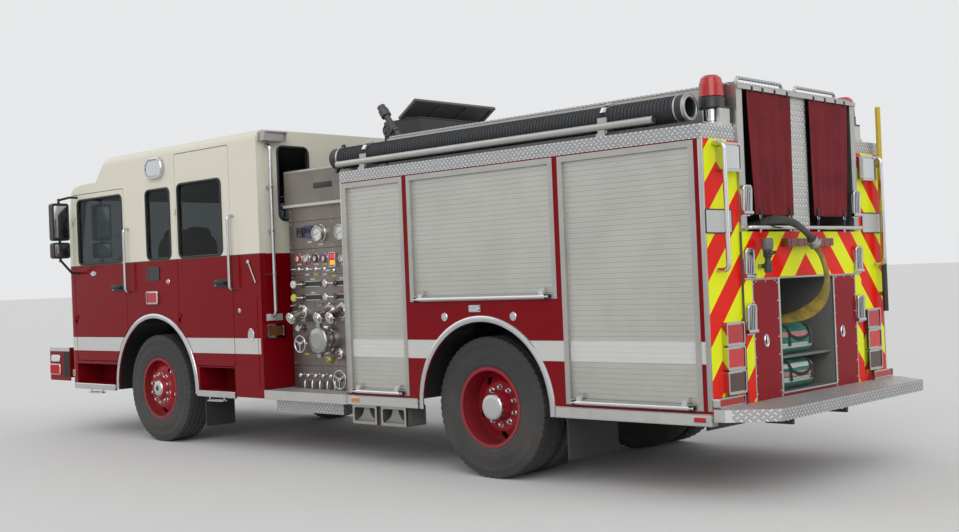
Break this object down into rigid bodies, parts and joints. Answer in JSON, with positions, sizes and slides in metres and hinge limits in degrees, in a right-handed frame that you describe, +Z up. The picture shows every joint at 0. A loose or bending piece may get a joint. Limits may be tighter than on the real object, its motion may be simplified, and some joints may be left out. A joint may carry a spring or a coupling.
{
  "type": "fire engine",
  "caption": "Custom-cab pumper fire engine with tilting four-door cab, side pump panel, shuttered lockers, covered hose bay and rear step.",
  "frame": {"origin": "on the ground under the middle of the vehicle's length and width", "axes": "+X forward, +Y to the vehicle's left, +Z up"},
  "size_m": [9.19, 3.1, 3.1534],
  "materials": {
    "bag_green": "woven",
    "black_plastic": "grained",
    "body_red": "gloss paint",
    "cab_paint": "two-colour gloss paint",
    "chassis_black": "satin paint",
    "chrome": "polished",
    "curtain_red": "coated cloth",
    "dial_white": "dial",
    "engine_grey": "cast",
    "glass": "tinted",
    "hose_black": "ribbed",
    "hose_cloth": "woven jacket",
    "lamp_red": "lens",
    "rubber": "matt",
    "satin_aluminium": "satin",
    "seat_cover": "woven",
    "stainless": "brushed",
    "treadplate": "bright tread pattern",
    "tyre": "matt rubber",
    "wheel_red": "gloss paint"
  },
  "bodies": {
    "root": {"attack_hose": "hose_cloth", "axles": "chassis_black", "chassis_frame": "chassis_black", "drivetrain": "engine_grey", "equipment_bags": "bag_green", "front_bumper": "chrome", "hose_couplings": "satin_aluminium", "hosebed": "body_red", "hosebed_curtains": "curtain_red", "mud_flaps": "rubber", "pump_fittings": "chrome", "pump_gauges": "dial_white", "pump_module": "stainless", "rails_and_steps": "chrome", "rear_body": "body_red", "rear_lamps": "lamp_red", "roll_shutters": "satin_aluminium", "roof_box": "black_plastic", "running_boards": "treadplate", "shutter_frames": "satin_aluminium", "side_lockers": "body_red", "stowed_tools": "satin_aluminium", "suction_hose": "hose_black", "suction_rack": "satin_aluminium", "tailboard": "treadplate", "treadplate_caps": "treadplate", "water_tank": "black_plastic"},
    "cab": {"cab_shell": "cab_paint", "cab_windows": "glass", "cab_interior": "black_plastic", "crew_seats": "seat_cover", "front_grille": "chrome", "cab_lamps": "chrome", "light_bar": "lamp_red", "cab_rails": "chrome"},
    "steering_wheel": {"steering_wheel": "black_plastic"},
    "deck_gun": {"deck_gun": "satin_aluminium"},
    "roof_box_lid": {"roof_box_lid": "black_plastic"},
    "front_door_left": {"front_door_left": "cab_paint", "front_door_glass_left": "glass", "mirror_left": "black_plastic"},
    "crew_door_left": {"crew_door_left": "cab_paint", "crew_door_glass_left": "glass"},
    "knuckle_left": {"steering_knuckle_left": "chassis_black"},
    "front_wheel_left": {"tyre_front_left": "tyre", "rim_front_left": "wheel_red"},
    "rear_wheels_left": {"tyres_rear_left": "tyre", "rims_rear_left": "wheel_red"},
    "hosebed_lid_left": {"hosebed_lid_left": "treadplate"},
    "front_door_right": {"front_door_right": "cab_paint", "front_door_glass_right": "glass", "mirror_right": "black_plastic"},
    "crew_door_right": {"crew_door_right": "cab_paint", "crew_door_glass_right": "glass"},
    "knuckle_right": {"steering_knuckle_right": "chassis_black"},
    "front_wheel_right": {"tyre_front_right": "tyre", "rim_front_right": "wheel_red"},
    "rear_wheels_right": {"tyres_rear_right": "tyre", "rims_rear_right": "wheel_red"},
    "hosebed_lid_right": {"hosebed_lid_right": "treadplate"}
  },
  "joints": [
    {"name": "cab_tilt", "type": "hinge", "parent": "root", "child": "cab", "pos_m": [3.945, 0, 0.99], "axis": [0, 1, 0], "range_deg": [0, 45]},
    {"name": "steering_wheel_turn", "type": "hinge", "parent": "cab", "child": "steering_wheel", "pos_m": [3.435, 0.64, 1.79], "axis": [-0.5736, 0, 0.8192], "range_deg": [-540, 540]},
    {"name": "deck_gun_turn", "type": "hinge", "parent": "root", "child": "deck_gun", "pos_m": [-0.735, 0.595, 2.6], "axis": [0, 0, 1], "range_deg": [-175, 175]},
    {"name": "roof_box_lid_hinge", "type": "hinge", "parent": "root", "child": "roof_box_lid", "pos_m": [-0.36, 0, 2.9913], "axis": [0, 1, 0], "range_deg": [-33, 57]},
    {"name": "front_door_hinge_left", "type": "hinge", "parent": "cab", "child": "front_door_left", "pos_m": [3.885, 1.2295, 1.7], "axis": [0, 0, -1], "range_deg": [0, 80]},
    {"name": "crew_door_hinge_left", "type": "hinge", "parent": "cab", "child": "crew_door_left", "pos_m": [1.875, 1.2295, 1.8], "axis": [0, 0, -1], "range_deg": [0, 80]},
    {"name": "steer_left", "type": "hinge", "parent": "root", "child": "knuckle_left", "pos_m": [2.32, 0.8, 0.535], "axis": [0, 0, 1], "range_deg": [-35, 35]},
    {"name": "front_wheel_spin_left", "type": "hinge", "parent": "knuckle_left", "child": "front_wheel_left", "pos_m": [2.32, 1.05, 0.535], "axis": [0, 1, 0], "continuous": true},
    {"name": "rear_wheel_spin_left", "type": "hinge", "parent": "root", "child": "rear_wheels_left", "pos_m": [-2.215, 0.9, 0.535], "axis": [0, 1, 0], "continuous": true},
    {"name": "hosebed_lid_hinge_left", "type": "hinge", "parent": "root", "child": "hosebed_lid_left", "pos_m": [-2.515, 0.828, 2.7383], "axis": [-1, 0, 0], "range_deg": [0, 85]},
    {"name": "front_door_hinge_right", "type": "hinge", "parent": "cab", "child": "front_door_right", "pos_m": [3.885, -1.2295, 1.7], "axis": [0, 0, 1], "range_deg": [0, 80]},
    {"name": "crew_door_hinge_right", "type": "hinge", "parent": "cab", "child": "crew_door_right", "pos_m": [1.875, -1.2295, 1.8], "axis": [0, 0, 1], "range_deg": [0, 80]},
    {"name": "steer_right", "type": "hinge", "parent": "root", "child": "knuckle_right", "pos_m": [2.32, -0.8, 0.535], "axis": [0, 0, 1], "range_deg": [-35, 35]},
    {"name": "front_wheel_spin_right", "type": "hinge", "parent": "knuckle_right", "child": "front_wheel_right", "pos_m": [2.32, -1.05, 0.535], "axis": [0, 1, 0], "continuous": true},
    {"name": "rear_wheel_spin_right", "type": "hinge", "parent": "root", "child": "rear_wheels_right", "pos_m": [-2.215, -0.9, 0.535], "axis": [0, 1, 0], "continuous": true},
    {"name": "hosebed_lid_hinge_right", "type": "hinge", "parent": "root", "child": "hosebed_lid_right", "pos_m": [-2.515, -0.828, 2.7383], "axis": [1, 0, 0], "range_deg": [0, 85]}
  ],
  "couplings": [
    {"joint": "steer_right", "follows": "steer_left", "ratio": 1},
    {"joint": "steering_wheel_turn", "follows": "steer_left", "ratio": 15}
  ]
}
